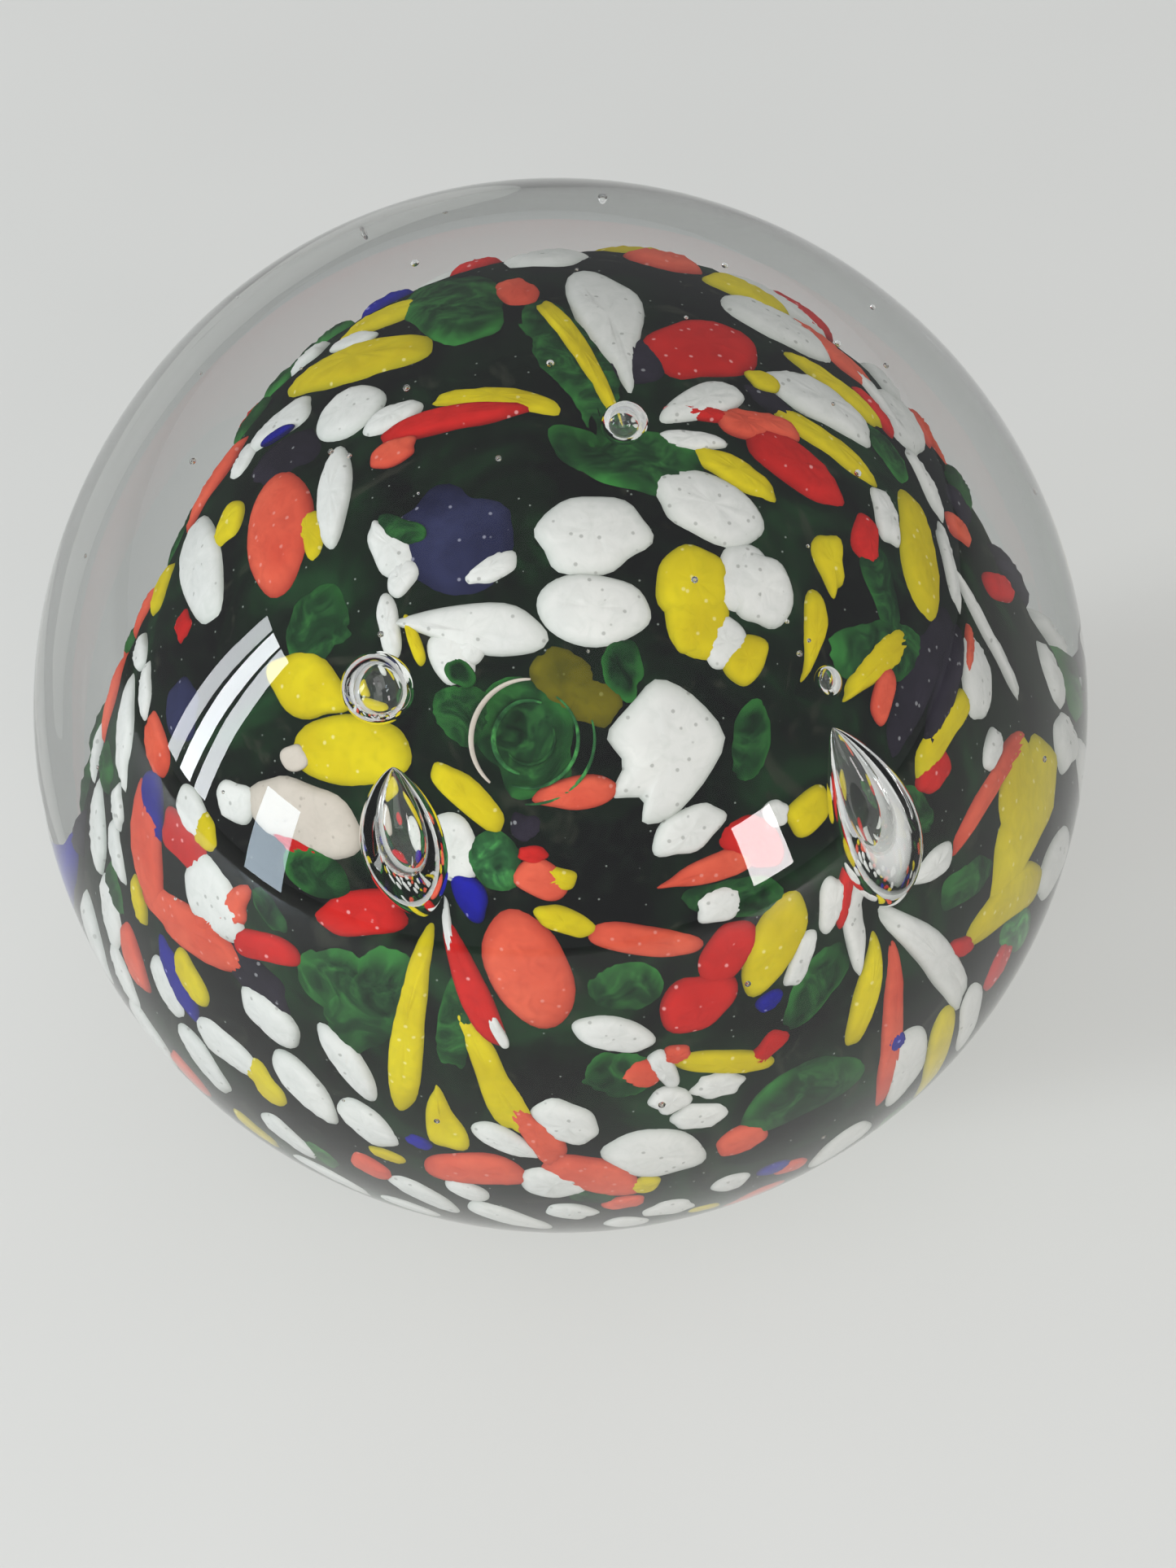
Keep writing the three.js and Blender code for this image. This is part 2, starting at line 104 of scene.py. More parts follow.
# Chips without a solid of their own: the small ones, and some larger patches of dark and beige
# glass. Each runs from one end to the other. An end is turn round the axis from the front in
# degrees, then way down the egg from its crown in mm. Then come width and taper, which is how much
# narrower the first end is.
SMALL_CHIPS = {
    "white": [
        (-132, 15.6, -127, 19.4, 2.6, 0),
        (-60, 9.5, -50, 9.3, 1.9, 0),
        (-127, 19.4, -119, 19.8, 1.8, 0),
        (178, 22.4, 166, 22.4, 3.6, 0),
        (150, 27, 136, 27.4, 3.4, 0),
        (98, 8.2, 97, 11.4, 1.4, 0),
        (98, 22.6, 88, 22.9, 2.1, 0),
        (114, 28, 107, 30.8, 2.2, 0.3),
        (128, 26.8, 115, 28.6, 1.0, 0),
        (104, 29.8, 90, 30.3, 1.6, 0),
        (98, 31, 92, 39, 1.0, 0),
        (80, 36, 72, 35.6, 1.4, 0),
        (90, 48, 78, 46.8, 2.4, 0),
        (50.5, 35.8, 59, 36.4, 2.4, 0.6),
        (37.5, 38.2, 41.5, 32.8, 3.0, 0.7),
        (38, 31, 34, 34, 1.6, 0),
        (44.5, 45.4, 44, 51, 2.6, 0),
        (58, 46.8, 58, 51.4, 2.0, 0),
        (38, 51.4, 29, 53.6, 2.6, 0),
        (31.5, 33.2, 26.5, 36, 1.4, 0),
        (15.8, 28.2, 22.6, 29, 2.0, 0),
        (36.5, 15.8, 48, 15.4, 2.1, 0),
        (-33, 10.9, -25, 13.4, 2.4, 0),
        (-27, 10.9, -20, 11.8, 1.9, 0),
        (-32, 7.9, -13, 6.1, 1.7, 0.4),
        (-55, 10.9, -44, 13.1, 1.3, 0),
        (66, 13.6, 50, 15, 3.4, 0),
        (-24.5, 21.2, -20.5, 24.8, 2.9, 0),
        (-75, 29.4, -68, 28.9, 2.4, 0),
        (-67, 26.8, -60, 25.4, 2.2, 0),
        (-97, 27.8, -90, 29, 1.4, 0),
        (-100, 30.6, -90, 34, 2.5, 0),
        (-92, 35, -88.5, 36.8, 1.5, 0),
        (-100, 38.4, -95, 42.2, 2.3, 0),
        (-91, 37.2, -86.5, 39.6, 1.9, 0),
        (-92, 41.4, -88, 44.8, 2.5, 0),
        (-101, 45.8, -93, 48.2, 1.6, 0),
        (-90, 45.2, -84, 47.2, 1.8, 0),
        (-86, 47.8, -78.5, 49.8, 2.4, 0),
        (-77, 41.4, -71.5, 44.4, 2.2, 0),
        (-71.5, 45, -64.5, 47.6, 2.3, 0),
        (-67, 42.8, -56.5, 44.4, 2.8, 0),
        (-40.8, 42.7, -35.2, 45.8, 2.6, 0),
        (-57, 47.6, -51, 50, 2.0, 0),
        (-12.6, 44.9, -21, 42.4, 2.4, 0.5),
        (-27.5, 48.2, -22.6, 50, 1.7, 0),
        (-37, 49.1, -28.6, 52, 1.9, 0),
        (-25, 50.6, -15.6, 54, 2.1, 0),
        (-13.5, 50.6, -7, 52, 1.8, 0),
        (0.8, 52.4, 8.6, 52.8, 2.1, 0),
        (7, 42.8, 14.2, 43.8, 2.1, 0),
        (4, 41.5, 9.6, 41, 1.9, 0),
        (10.5, 40.5, 17, 41.8, 1.9, 0),
        (12, 50.6, 17, 51.6, 1.9, 0),
        (-24.8, 26.8, -21.5, 29.8, 0.8, 0.3),
        (5.8, 37.2, 7.4, 40, 1.3, 0),
        (31, 25, 35, 25.6, 1.4, 0),
        (-55, 51, -44, 52.8, 1.5, 0),
        (-41, 52.4, -33, 53.8, 1.5, 0),
    ],
    "cream": [
        (-59, 24.6, -41, 23.4, 4.1, 0),
    ],
    "yellow": [
        (-167, 18.4, -153, 20.2, 3.2, 0),
        (-99, 12.8, -83, 12.4, 1.5, 0),
        (-112, 18.6, -103, 19.2, 2.1, 0),
        (-113, 26.2, -105, 27.2, 2.0, 0),
        (149, 24, 138, 25, 3.4, 0),
        (-136, 6.5, 155, 3.3, 1.8, 0.2),
        (91, 9.9, 84, 14.4, 1.9, 0),
        (109, 16.2, 99, 22.2, 1.8, 0),
        (125, 20.8, 115, 25.6, 1.8, 0),
        (69, 19.4, 80, 17.8, 2.8, 0.6),
        (53, 20.6, 65.5, 18.4, 2.3, 0.7),
        (55.5, 23, 74, 24.6, 2.2, 0.6),
        (77, 31.4, 59, 29.8, 2.1, 0.3),
        (57.5, 42.4, 79, 45.6, 3.3, 0.5),
        (42, 36.8, 34.4, 43.2, 2.3, 0.6),
        (52, 46.2, 50, 52.8, 1.8, 0),
        (86, 39.4, 71, 40, 4.2, 0.3),
        (38.5, 17.4, 49, 16.8, 2.2, 0),
        (33, 13.4, 40, 14.4, 2.1, 0),
        (33.5, 12.8, 48, 14.4, 4.2, 0),
        (-27, 18.4, -13.5, 21.2, 1.9, 0.2),
        (-70, 29.9, -65, 28.9, 2.0, 0),
        (-70.5, 39, -65.5, 41.4, 2.3, 0),
        (-57.5, 43.6, -53, 45.6, 2.6, 0),
        (-20.6, 33.4, -14, 42.8, 2.9, 0.6),
        (-26, 39.4, -25.5, 44.8, 3.4, 0.9),
        (-0.5, 48.4, 3.4, 49.2, 1.7, 0),
        (8.5, 38, 21.5, 40.8, 1.7, 0.2),
        (-8, 26.3, -0.6, 28, 1.5, 0),
        (34.5, 26.5, 42, 26.4, 2.3, 0),
        (-7, 24.3, -2, 24.8, 1.3, 0),
        (-91, 50, -86, 51, 1.2, 0),
        (8, 54, 13, 54.4, 1.2, 0),
        (-46, 11, -36, 13, 0.8, 0.3),
        (-82, 37.8, -79.5, 40, 1.2, 0),
        (-38.5, 46.6, -33.5, 47, 1.0, 0),
        (-65, 49.6, -58.5, 51, 1.2, 0),
    ],
    "coral": [
        (-130, 21.4, -117, 24.8, 1.8, 0),
        (105, 12, 103.5, 14.6, 1.8, 0),
        (107, 12.8, 104, 16.8, 1.9, 0.3),
        (137, 24.6, 124, 27.8, 2.2, 0),
        (88, 38.8, 60, 35.4, 1.4, 0),
        (44, 38.4, 39.4, 50, 2.0, 0.5),
        (20, 46.6, 12.6, 46.8, 2.4, 0),
        (-79, 37.6, -57, 35.2, 3.0, 0),
        (-89, 28.6, -80, 29.2, 2.5, 0),
        (0, 28, 14, 30.4, 1.9, 0),
        (-11, 45.4, 0, 49, 3.1, 0),
        (-14.6, 40.4, -10.2, 45.4, 2.2, 0.3),
        (-29.5, 46.6, -16, 46.6, 3.1, 0),
        (12, 26, 26, 26.6, 2.4, 0.7),
        (-11, 23.7, -4, 25.3, 2.1, 0),
        (1.5, 37.8, 5.5, 39.4, 2.0, 0),
        (6.5, 37.4, 10.5, 38, 1.2, 0),
        (-85.5, 42.2, -81, 45.2, 2.2, 0),
        (-77, 48.4, -71, 50, 1.6, 0),
        (-43, 48, -37, 49.4, 1.8, 0),
        (22, 51.6, 27, 52.4, 1.4, 0),
        (-5, 50.8, 1, 50.4, 1.5, 0),
        (175, 14.2, 177, 18.2, 2.1, 0),
        (89, 31.7, 80, 31.2, 0.8, 0),
        (-66, 36.4, -58, 31, 2.2, 0),
    ],
    "red": [
        (90, 21, 80, 20.8, 2.0, 0),
        (65.5, 32, 58, 30.8, 1.9, 0),
        (41, 30.8, 36.5, 34.4, 1.1, 0),
        (22.5, 30.6, 14.5, 33, 2.7, 0),
        (-58.5, 34.4, -47.5, 32.6, 2.1, 0.2),
        (-77, 31.8, -66, 30.8, 2.8, 0),
        (-43.5, 29.4, -31, 27.2, 2.9, 0.2),
        (18, 40.6, 24, 39.2, 1.8, 0.3),
        (68, 47, 61.5, 48.2, 1.8, 0),
        (-55, 26, -40, 25.8, 1.2, 0.3),
        (24, 24.4, 31, 27.6, 2.6, 0.2),
        (-34, 21.8, -31, 22.6, 1.0, 0),
        (-97, 23.6, -92, 23, 1.4, 0),
        (54, 42.4, 59, 43.6, 1.1, 0),
        (112, 9.2, 106, 12.6, 1.1, 0),
        (122, 25.2, 115, 26.8, 1.1, 0),
        (-11, 22.8, -6, 23.2, 0.9, 0),
    ],
    "green": [
        (113, 23.8, 106, 26.6, 2.9, 0),
        (84, 21.4, 72, 23.6, 2.6, 0),
        (-92, 40.6, -86, 41.8, 2.4, 0),
        (-76, 14, -58, 15.6, 4.6, 0),
        (100, 1.6, 78, 10.6, 4.3, 0),
        (12, 13.6, 22, 13.8, 3.3, 0),
        (-44.5, 31.8, -35, 34.8, 5.2, 0),
        (-3, 36.8, 4, 40, 3.6, 0),
        (36, 35.6, 25, 38.6, 3.2, 0),
        (50, 29, 58, 33.6, 2.6, 0),
        (40, 19.2, 30, 22.6, 2.6, 0),
        (55, 38.4, 66, 40.6, 2.4, 0),
        (-52.5, 48.8, -46, 50.2, 1.8, 0),
        (-130, 27, -118, 29.4, 2.4, 0),
        (-2, 31.4, 8, 32.6, 3.4, 0),
        (-10, 48.8, -3, 50, 1.6, 0),
        (-56, 30, -49, 31.6, 1.8, 0),
        (60, 20.6, 76, 27.6, 3.4, 0),
        (14, 27.4, 30, 30, 2.6, 0),
        (-30, 30, -40, 38, 4.2, 0),
        (-20, 30, -24, 38, 2.6, 0.3),
        (-19, 16.6, 2, 16.2, 6.4, 0),
        (-30, 14.4, -16, 16.2, 3.4, 0),
        (120, 3, -174, 14, 5.6, 0.5),
    ],
    "olive": [
        (-5, 12, 8, 14.4, 3.3, 0),
        (4, 13.6, 12, 16.2, 2.6, 0),
    ],
    "bright_green": [
        (66, 45.4, 74, 48.4, 2.4, 0.3),
        (-17.5, 22, -13, 24.8, 2.9, 0),
    ],
    "blue": [
        (-83, 30.4, -78, 34, 2.5, 0),
        (-74.5, 39.4, -68, 43.2, 2.1, 0),
        (19, 51, 24, 51.4, 1.2, 0),
        (-32, 44.4, -28.5, 45, 1.0, 0),
        (41, 44.6, 43, 46, 1.1, 0),
        (21, 36.6, 25, 36, 1.2, 0),
    ],
    "black": [
        (87, 27.8, 56, 26.8, 2.8, 0),
        (131, 8.6, 143, 12.4, 3.4, 0),
        (-119, 12.8, -119, 18, 3.3, 0),
        (-60, 35.8, -48.5, 36.6, 3.3, 0),
        (118, 15.2, 108, 17.4, 1.6, 0),
        (-12, 21.1, -7, 21.8, 1.7, 0),
    ],
    "navy": [
        (-82, 6.2, -14, 6, 6.2, 0),
        (-87, 26.2, -78, 24.8, 3.3, 0),
    ],
}

# Thin flakes of a second colour that lie fused on a chip of another, as (colour, ends, width, taper).
FLAKES = [
    ("green", -79, 8.2, -61, 7.0, 1.3, 0),
    ("green", -28, 12.4, -23, 13.6, 1.3, 0),
    ("yellow", 118.8, 15.6, 117.4, 17.4, 1.5, 0),
    ("coral", -108, 8.6, -115, 6.2, 1.6, 0),
    ("coral", 65, 24.6, 57, 25.6, 1.4, 0),
    ("white", -154, 16.4, -150, 19.2, 1.4, 0),
    ("cream", -57, 20.8, -53, 21.6, 1.5, 0),
    ("white", -16.6, 33.2, -14.8, 35.4, 0.6, 0),
    ("blue", -127, 15.8, -124, 17.8, 0.6, 0),
]

# Chips scattered at random. They fill the back, which runs between these turns, and a low band
# all round, from LOW_BAND mm down the egg.
BACK_START, BACK_END = 98, 262
LOW_BAND = 54
SCATTER_DOWNS = (22, 60)
SCATTER_TRIES = 2600
SCATTER_LENGTHS = (2.2, 4.8)
SCATTER_WIDTHS = (1.5, 2.8)
SCATTER_TONES = (
    "white", "white", "white", "yellow", "coral", "red", "green", "green", "blue", "black",
)

# The dark glass lies a little deeper than the bright chips that meet it.
DARK_TONES = ("green", "olive", "navy", "black")
DARK_SINK = 0.15

# Threads that swirl round a prick: radius in mm, first and last angle in degrees, thickness, colour.
SWIRL_PLACE = (-8, 16.4)
SWIRL_THREADS = [
    (1.5, -30, 150, 0.22, "green"),
    (2.1, 100, 300, 0.3, "bright_green"),
    (2.8, -60, 120, 0.22, "bright_green"),
    (3.3, 130, 280, 0.3, "cream"),
    (3.7, -20, 100, 0.2, "bright_green"),
]


# ---------------------------------------------------------------- the egg that the chips lie on
ANGLES = np.linspace(0, math.acos(-EGG_MIDDLE / EGG_DOWN), 1500)
RADII = EGG_RADIUS * np.sin(ANGLES)
HEIGHTS = EGG_MIDDLE + np.where(np.cos(ANGLES) > 0, EGG_UP, EGG_DOWN) * np.cos(ANGLES)
DOWNS = np.concatenate([[0], np.cumsum(np.hypot(np.diff(RADII), np.diff(HEIGHTS)))])


def egg(turn, down, out=0.0):
    """Points on the egg in mm, out along its normal, with no dents."""
    turn, down, out = np.broadcast_arrays(*(np.asarray(v, float) for v in (turn, down, out)))
    radius = np.interp(down, DOWNS, RADII)
    height = np.interp(down, DOWNS, HEIGHTS)
    step = 0.2
    slope_r = np.interp(down + step, DOWNS, RADII) - np.interp(down - step, DOWNS, RADII)
    slope_z = np.interp(down + step, DOWNS, HEIGHTS) - np.interp(down - step, DOWNS, HEIGHTS)
    size = np.hypot(slope_r, slope_z)
    radius = radius - out * slope_z / size
    height = height + out * slope_r / size
    angle = np.radians(turn)
    return np.stack([radius * np.sin(angle), -radius * np.cos(angle), height], axis=-1)


PRICK_MOUTHS = [egg(turn, down) for turn, down, _depth, _spread in PRICKS]


def dent(points):
    """How far the pricks drag each of these points of the egg inwards, in mm."""
    total = np.zeros(points.shape[:-1])
    for mouth, (_turn, _down, depth, spread) in zip(PRICK_MOUTHS, PRICKS):
        total += depth * np.exp(-np.linalg.norm(points - mouth, axis=-1) / spread)
    return total


BULGE_TOPS = [egg(turn, down) for turn, down, _height, _spread in BULGES]


def swell(points):
    """How far the broad unevenness of the egg lifts each of these points, in mm."""
    total = np.zeros(points.shape[:-1])
    for top, (_turn, _down, height, spread) in zip(BULGE_TOPS, BULGES):
        total += height * np.exp(-((np.linalg.norm(points - top, axis=-1) / spread) ** 2))
    return total


def dented_egg(turn, down, out=0.0):
    smooth = egg(turn, down)
    return egg(turn, down, np.asarray(out) + swell(smooth) - dent(smooth))


def around(turn, down, sideways, outwards):
    """Turn and way down of points that lie so many mm beside and below a place on the egg."""
    angle = np.radians(turn)
    stretch = down / np.interp(down, DOWNS, RADII)
    x = (down + outwards) * np.sin(angle) + sideways * stretch * np.cos(angle)
    y = -(down + outwards) * np.cos(angle) + sideways * stretch * np.sin(angle)
    return np.degrees(np.arctan2(x, -y)), np.hypot(x, y)


# ---------------------------------------------------------------- meshes
def new_object(name, points, faces, attributes=None):
    """A smooth mesh object from points in mm."""
    mesh = bpy.data.meshes.new(name)
    mesh.from_pydata((np.asarray(points) * MM).tolist(), [], faces)
    mesh.shade_smooth()
    for key, values in (attributes or {}).items():
        layer = mesh.attributes.new(key, "FLOAT", "POINT")
        layer.data.foreach_set("value", np.asarray(values, np.float32))
    mesh.validate()
    made = bpy.data.objects.new(name, mesh)
    bpy.context.scene.collection.objects.link(made)
    return made


def ring_faces(rings, sectors, closed_start, closed_end, offset=0):
    """Faces of a body made of rings of points: a pole point, rings, a pole point."""
    faces = []
    first = offset + (1 if closed_start else 0)
    if closed_start:
        faces += [(offset, first + (i + 1) % sectors, first + i) for i in range(sectors)]
    for ring in range(rings - 1):
        a = first + ring * sectors
        for i in range(sectors):
            j = (i + 1) % sectors
            faces.append((a + i, a + j, a + sectors + j, a + sectors + i))
    if closed_end:
        a = first + (rings - 1) * sectors
        faces += [(a + i, a + (i + 1) % sectors, a + sectors) for i in range(sectors)]
    return faces


class Body:
    """Points and faces of one mesh that several closed shells are added to."""

    def __init__(self):
        self.points, self.faces, self.rims = [], [], []

    def add(self, points, faces, rims=None):
        base = sum(len(p) for p in self.points)
        self.points.append(points)
        self.faces += [tuple(v + base for v in face) for face in faces]
        self.rims.append(np.zeros(len(points)) if rims is None else rims)

    def make(self, name):
        return new_object(name, np.vstack(self.points), self.faces, {"rim": np.concatenate(self.rims)})


CHIP_SIDES = 32
CHIP_SHARES = np.array([0.3, 0.55, 0.74, 0.88, 0.97])


def chip_shell(turn, down, outline, half, lift, random):
    """One chip from its outline, which holds a place beside and a place below its middle per side."""
    def dome(share):
        return half * np.sqrt(np.clip(1 - share**3.2, 0, 1))

    rows, rims = [], []

    def add_row(share, side):
        wave = 0.05 * half * random.standard_normal(len(outline))
        turns, downs = around(turn, down, outline[:, 0] * share, outline[:, 1] * share)
        rows.append(dented_egg(turns, downs, lift + side * dome(share) + wave * (share < 0.9)))
        rims.append(np.full(len(outline), share))

    def add_pole(side):
        rows.append(dented_egg([turn], [down], lift + side * half))
        rims.append(np.zeros(1))

    add_pole(1)
    for share in CHIP_SHARES:
        add_row(share, 1)
    add_row(1.0, 0)
    for share in CHIP_SHARES[::-1]:
        add_row(share, -1)
    add_pole(-1)
    faces = ring_faces(2 * len(CHIP_SHARES) + 1, len(outline), True, True)
    return np.vstack(rows), faces, np.concatenate(rims)


def unevenness(amount, random):
    """A factor per side of an outline that makes it uneven but keeps it round."""
    angle = np.linspace(0, 2 * math.pi, CHIP_SIDES, endpoint=False)
    return 1 + sum(
        random.normal(0, amount / order) * np.cos(order * angle + random.uniform(0, 6.3))
        for order in range(2, 7)
    )


def drawn_outline(length, width, taper, slant, random):
    """An uneven rounded outline, turned so that its long axis runs along slant."""
    angle = np.linspace(0, 2 * math.pi, CHIP_SIDES, endpoint=False)
    squareness = 0.86 if taper < 0.5 else 1.0
    cosine, sine = np.cos(angle), np.sin(angle)
    along = length / 2 * np.sign(cosine) * np.abs(cosine) ** squareness
    across = width / 2 * np.sign(sine) * np.abs(sine) ** squareness
    across = across * (1 - taper * (0.5 - cosine / 2))
    wobble = unevenness(SMALL_UNEVENNESS, random)
    along, across = along * wobble, across * wobble
    return np.stack(
        [along * slant[0] - across * slant[1], along * slant[1] + across * slant[0]], axis=-1
    )


def between(turn_1, down_1, turn_2, down_2):
    """Middle, length and direction of a chip from the places of its two ends."""
    turns = (turn_2 - turn_1 + 180) % 360 - 180
    turn, down = turn_1 + turns / 2, (down_1 + down_2) / 2
    run = np.array([math.radians(turns) * np.interp(down, DOWNS, RADII), down_2 - down_1])
    length = np.linalg.norm(run)
    return turn, down, length, run / length


def small_chip(ends, width, taper, half, lift, random):
    """A chip without a solid of its own, from the places of its two ends."""
    turn, down, length, slant = between(*ends)
    outline = drawn_outline(length * GROWTH, width * GROWTH, taper, slant, random)
    return chip_shell(turn, down, outline, half, lift, random)


def frame_outline(node, grow, random):
    """Middle and smooth outline of a chip, measured on its solid in the frame."""
    points = np.unique(
        np.round([tuple(v.co / MM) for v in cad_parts[node].data.vertices], 3), axis=0
    )
    reach = np.hypot(points[:, 0], points[:, 1])
    off = np.hypot(reach[:, None] - RADII, points[:, 2:] - HEIGHTS)
    on_egg = off.min(1) < 0.1  # only the rim of the solid lies on the egg itself
    downs = DOWNS[off[on_egg].argmin(1)]
    turns = np.arctan2(points[on_egg, 0], -points[on_egg, 1])
    flat = np.stack([downs * np.sin(turns), -downs * np.cos(turns)], -1)
    middle = (flat.max(0) + flat.min(0)) / 2
    down = np.hypot(*middle)
    outwards = middle / down
    sideways = np.array([-outwards[1], outwards[0]])
    stretch = down / np.interp(down, DOWNS, RADII)
    rim = (flat - middle) @ sideways / stretch + 1j * ((flat - middle) @ outwards)
    rim = rim[np.argsort(np.angle(rim))]
    spectrum = np.fft.fft(rim)
    half = len(rim) // 2
    wide = np.zeros(CHIP_SIDES, complex)
    wide[:half] = spectrum[:half]
    wide[half - len(rim):] = spectrum[half:]
    smooth = np.fft.ifft(wide) * CHIP_SIDES / len(rim) * grow
    smooth = smooth * unevenness(OUTLINE_UNEVENNESS, random)
    turn = math.degrees(math.atan2(middle[0], -middle[1]))
    return turn, down, np.stack([smooth.real, smooth.imag], axis=-1)


def lathe_rows(profile, sectors):
    """Rings of points round Z from a profile of radius and height, without its two pole points."""
    angle = np.linspace(0, 2 * math.pi, sectors, endpoint=False)
    cosine, sine = np.cos(angle), np.sin(angle)
    return [np.stack([r * cosine, r * sine, np.full(sectors, z)], -1) for r, z in profile]


def ball_shell():
    """The outside of the casing: a slightly uneven ball on a ground base with a softened edge."""
    sectors = 160
    base_radius = math.sqrt(BALL_RADIUS**2 - BALL_MIDDLE**2)
    profile = [(base_radius * share, 0) for share in (0.3, 0.6, 0.8, 0.9)]
    profile += [(base_radius - BASE_BEVEL * share, 0) for share in (2.0, 1.4, 1.1, 1.0)]
    start = math.acos(-(BALL_MIDDLE - BASE_BEVEL) / BALL_RADIUS)
    angles = start * (1 - np.concatenate([[0, 0.004, 0.01], np.linspace(0.02, 0.985, 110)]))
    profile += [(BALL_RADIUS * math.sin(a), BALL_MIDDLE + BALL_RADIUS * math.cos(a)) for a in angles]
    rows = lathe_rows(profile, sectors)
    points = np.vstack([[[0, 0, 0]], *rows, [[0, 0, BALL_MIDDLE + BALL_RADIUS]]])
    outwards = (points - [0, 0, BALL_MIDDLE]) / BALL_RADIUS
    uneven = (
        0.10 * np.sin(2.0 * outwards[:, 0] + 1.1 * outwards[:, 1] + 0.6)
        + 0.08 * np.sin(3.1 * outwards[:, 1] - 2.3 * outwards[:, 2] + 1.9)
        + 0.05 * np.sin(4.3 * outwards[:, 0] + 3.7 * outwards[:, 2])
        - 0.16
    )
    weight = np.clip((points[:, 2] - 1.0) / 12, 0, 1)
    points = points + outwards * (uneven * weight)[:, None]
    return points, ring_faces(len(rows), sectors, True, True)


def drop_shell(turn, down, length, radius, widest, bow, lean_left, lean_back, random):
    """An air bubble standing over its prick, its faces turned to the air inside."""
    sectors, rings = 40, 30
    share = (1 - np.cos(math.pi * np.arange(1, rings) / rings)) / 2
    long = length > 3 * radius
    swelling = np.sin(math.pi * share ** (math.log(0.5) / math.log(widest)))
    pointedness = 0.75 if long else 0.5
    rows = lathe_rows(zip(radius * swelling**pointedness, length * share), sectors)
    points = np.vstack([[[0, 0, 0]], *rows, [[0, 0, length]]])
    turns = np.arctan2(points[:, 1], points[:, 0])
    up = points[:, 2] / length
    points[:, :2] *= (1 + 0.05 * np.sin(2 * turns + random.uniform(0, 6)) * up)[:, None]
    out = 4 * bow * up * (1 - up)
    points[:, 0] += out * math.sin(math.radians(turn)) - lean_left * up
    points[:, 1] += lean_back * up - out * math.cos(math.radians(turn))
    tip = egg(turn, down, CHIP_HALF if long else CHIP_HALF + 0.3)
    return points + tip, [face[::-1] for face in ring_faces(len(rows), sectors, True, True)]


def thread_shell(turn, down, ring, start, end, thickness):
    """A fine thread of glass that lies on the egg along part of a ring round a place."""
    sides, steps = 8, 28
    share = np.linspace(0, 1, steps + 2)[1:-1]
    angle = np.radians(start + (end - start) * share)
    half = thickness / 2 * np.sin(math.pi * share) ** 0.4
    rows = []
    for a, h in zip(angle, half):
        side = np.linspace(0, 2 * math.pi, sides, endpoint=False)
        reach = ring + h * np.cos(side)
        turns, downs = around(turn, down, reach * np.cos(a), reach * np.sin(a))
        rows.append(dented_egg(turns, downs, CHIP_HALF + h * np.sin(side)))
    first, last = rows[0].mean(0), rows[-1].mean(0)
    faces = ring_faces(steps, sides, True, True)
    return np.vstack([first, *rows, last]), faces


def seed_shell(place, radius):
    """A seed: a tiny round bubble, its faces turned to the air inside."""
    sectors, rings = 10, 6
    share = np.arange(1, rings) / rings
    rows = lathe_rows(zip(radius * np.sin(math.pi * share), -radius * np.cos(math.pi * share)), sectors)
    points = np.vstack([[[0, 0, -radius]], *rows, [[0, 0, radius]]]) + place
    return points, [face[::-1] for face in ring_faces(len(rows), sectors, True, True)]


def casing():
    random = np.random.default_rng(SEED)
    body = Body()
    body.add(*ball_shell())
    for bubble in BUBBLES:
        body.add(*drop_shell(*bubble, random))
    placed = 0
    while placed < SEED_COUNT:
        turn, down = random.uniform(-180, 180), random.uniform(2, 44)
        out = random.uniform(*SEED_REACH)
        place = egg(turn, down, out)
        if np.linalg.norm(place - [0, 0, BALL_MIDDLE]) < BALL_RADIUS - 1.2 and place[2] > 3:
            body.add(*seed_shell(place, random.uniform(*SEED_RADII)))
            placed += 1
    return body.make("casing_glass")


def gather():
    """The inner gather: the dented egg with an uneven skin, cut flat just above the base."""
    random = np.random.default_rng(SEED + 1)
    sectors, rings = 168, 130
    turns = np.degrees(np.linspace(0, 2 * math.pi, sectors, endpoint=False))
    phases = random.uniform(0, 6.3, 12)
    rows = []
    for down in np.linspace(0.4, DOWNS[-1] - 0.2, rings):
        place = dented_egg(turns, down, GATHER_RISE)
        x, y, z = place.T
        bumps = (
            0.07 * np.sin(1.3 * x + phases[0]) * np.sin(1.1 * y + phases[1])
            + 0.05 * np.sin(1.7 * z + phases[2]) * np.sin(1.9 * x + phases[3])
            - 0.1
        )
        rows.append(dented_egg(turns, down, GATHER_RISE + bumps))
    floor = GATHER_LOW[2]
    rows = [row for row in rows if row[:, 2].min() > floor + 0.2]
    last = rows[-1].copy()
    for share in (1.0, 0.97, 0.8, 0.4):
        rows.append(np.stack([last[:, 0] * share, last[:, 1] * share, np.full(sectors, floor)], -1))
    crown = dented_egg([0], [0], GATHER_RISE)
    points = np.vstack([crown, *rows, [[0, 0, floor]]])
    faces = [face[::-1] for face in ring_faces(len(rows), sectors, True, True)]
    return new_object("gather_glass", points, faces)


